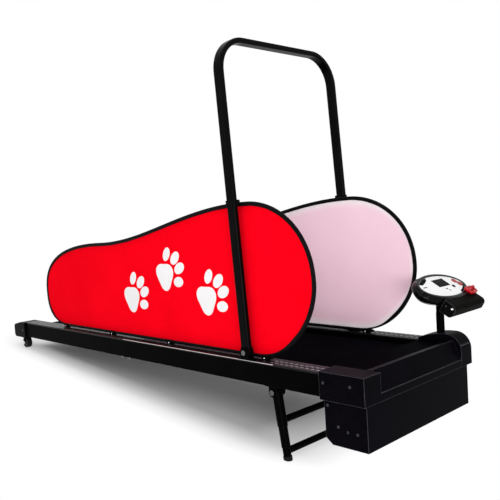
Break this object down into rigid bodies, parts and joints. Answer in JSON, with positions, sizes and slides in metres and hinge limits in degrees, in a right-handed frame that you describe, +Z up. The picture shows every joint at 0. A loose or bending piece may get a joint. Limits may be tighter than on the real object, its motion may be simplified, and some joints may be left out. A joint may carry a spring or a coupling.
{
  "type": "dog treadmill",
  "caption": "Inclined dog treadmill: walking belt between ribbed rails, fabric side panels, folding upright bar and legs, rear wheels, front drive housing and tilting console on a post.",
  "frame": {"origin": "on the floor, in the middle of the overall box", "axes": "+X forward along the deck towards the drive housing, +Y towards the console side, +Z up"},
  "size_m": [1.9551, 0.6618, 1.2163],
  "materials": {
    "black_paint": "satin",
    "black_plastic": "fine grained",
    "strip_grip": "ribbed, satin",
    "belt_rubber": "fine diamond grip",
    "rubber": "matt",
    "steel": "zinc plated",
    "motor_case": "satin",
    "deck_wood": "waxed board",
    "circuit_board": "lacquered",
    "panel_binding": "woven tape",
    "panel_red": "taut woven polyester",
    "white_plastic": "satin",
    "display_gloss": "gloss",
    "red_plastic": "gloss"
  },
  "bodies": {
    "chassis": {"rail_rear_near": "black_paint", "rail_rear_far": "black_paint", "rail_front_near": "black_paint", "rail_front_far": "black_paint", "foot_strip_near": "strip_grip", "foot_strip_far": "strip_grip", "splice_plates": "black_paint", "splice_bolts": "steel", "cross_members": "black_paint", "deck_cushions": "rubber", "deck_board": "deck_wood", "walking_belt": "belt_rubber", "roller_axles": "steel", "roller_bearings": "steel", "drive_belt": "belt_rubber", "motor_body": "motor_case", "motor_cradle": "black_paint", "control_board": "circuit_board", "front_beams": "black_paint", "lower_housing": "black_plastic", "hood": "black_plastic", "end_cheek": "black_plastic", "housing_screws": "steel", "power_inlet": "black_plastic", "rear_caps": "black_plastic", "tension_bolts": "steel", "wheel_brackets": "black_paint", "wheel_axles": "steel", "upright_brackets": "black_paint", "pivot_bolts": "steel", "base_clips": "black_plastic", "leg_brackets": "black_paint", "console_post": "black_paint", "console_pin": "steel"},
    "front_roller": {"front_roller": "steel", "roller_pulley": "steel"},
    "rear_roller": {"rear_roller": "steel"},
    "motor_rotor": {"motor_rotor": "steel"},
    "wheel_near": {"wheel_near": "rubber"},
    "wheel_far": {"wheel_far": "rubber"},
    "upright": {"upright_bar": "black_paint", "top_clips": "black_plastic"},
    "panel_near": {"panel_rim_near": "panel_binding", "panel_cloth_near": "panel_red"},
    "panel_far": {"panel_rim_far": "panel_binding", "panel_cloth_far": "panel_red"},
    "legs": {"leg_tubes": "black_paint", "leg_bars": "black_paint", "leg_feet": "rubber"},
    "console": {"console_body": "black_plastic", "console_apron": "black_plastic", "console_face": "white_plastic", "console_display": "display_gloss"},
    "button_faster": {"button_faster": "red_plastic"},
    "button_slower": {"button_slower": "red_plastic"},
    "button_start": {"button_start": "black_plastic"},
    "safety_key": {"safety_key": "red_plastic"},
    "power_switch": {"power_switch": "red_plastic"}
  },
  "joints": [
    {"name": "front_roller_spin", "type": "hinge", "parent": "chassis", "child": "front_roller", "pos_m": [0.88491, -0.0481, 0.25894], "axis": [0, 1, 0], "continuous": true},
    {"name": "rear_roller_spin", "type": "hinge", "parent": "chassis", "child": "rear_roller", "pos_m": [-0.86172, -0.0481, 0.08768], "axis": [0, 1, 0], "continuous": true},
    {"name": "motor_spin", "type": "hinge", "parent": "chassis", "child": "motor_rotor", "pos_m": [0.90434, -0.0481, 0.16317], "axis": [0, 1, 0], "continuous": true},
    {"name": "wheel_near_spin", "type": "hinge", "parent": "chassis", "child": "wheel_near", "pos_m": [-0.91576, -0.2981, 0.024], "axis": [0, 1, 0], "continuous": true},
    {"name": "wheel_far_spin", "type": "hinge", "parent": "chassis", "child": "wheel_far", "pos_m": [-0.91576, 0.2019, 0.024], "axis": [0, 1, 0], "continuous": true},
    {"name": "upright_fold", "type": "hinge", "parent": "chassis", "child": "upright", "pos_m": [0.53763, -0.0481, 0.28578], "axis": [0, -1, 0], "range_deg": [0, 60]},
    {"name": "panel_near_lift", "type": "slide", "parent": "chassis", "child": "panel_near", "axis": [-0.0976, 0, 0.9952], "range_m": [0, 0.03]},
    {"name": "panel_far_lift", "type": "slide", "parent": "chassis", "child": "panel_far", "axis": [-0.0976, 0, 0.9952], "range_m": [0, 0.03]},
    {"name": "leg_fold", "type": "hinge", "parent": "chassis", "child": "legs", "pos_m": [0.65039, -0.0481, 0.19123], "axis": [0, 1, 0], "range_deg": [0, 92]},
    {"name": "console_tilt", "type": "hinge", "parent": "chassis", "child": "console", "pos_m": [0.87497, 0.1979, 0.41149], "axis": [0, 1, 0], "range_deg": [-2, 25]},
    {"name": "faster_press", "type": "slide", "parent": "console", "child": "button_faster", "axis": [-0.4289, 0, -0.9033], "range_m": [0, 0.0015], "stiffness_N_per_m": 300, "springref_m": -0.001},
    {"name": "slower_press", "type": "slide", "parent": "console", "child": "button_slower", "axis": [-0.4289, 0, -0.9033], "range_m": [0, 0.0015], "stiffness_N_per_m": 300, "springref_m": -0.001},
    {"name": "start_press", "type": "slide", "parent": "console", "child": "button_start", "axis": [-0.4289, 0, -0.9033], "range_m": [0, 0.0015], "stiffness_N_per_m": 300, "springref_m": -0.001},
    {"name": "key_pull", "type": "slide", "parent": "console", "child": "safety_key", "axis": [0.4289, 0, 0.9033], "range_m": [0, 0.02]},
    {"name": "switch_rock", "type": "hinge", "parent": "chassis", "child": "power_switch", "pos_m": [0.87675, 0.2064, 0.14741], "axis": [0.9952, 0, 0.0976], "range_deg": [-8, 8]}
  ],
  "couplings": [
    {"joint": "rear_roller_spin", "follows": "front_roller_spin", "ratio": 1},
    {"joint": "motor_spin", "follows": "front_roller_spin", "ratio": 2}
  ]
}
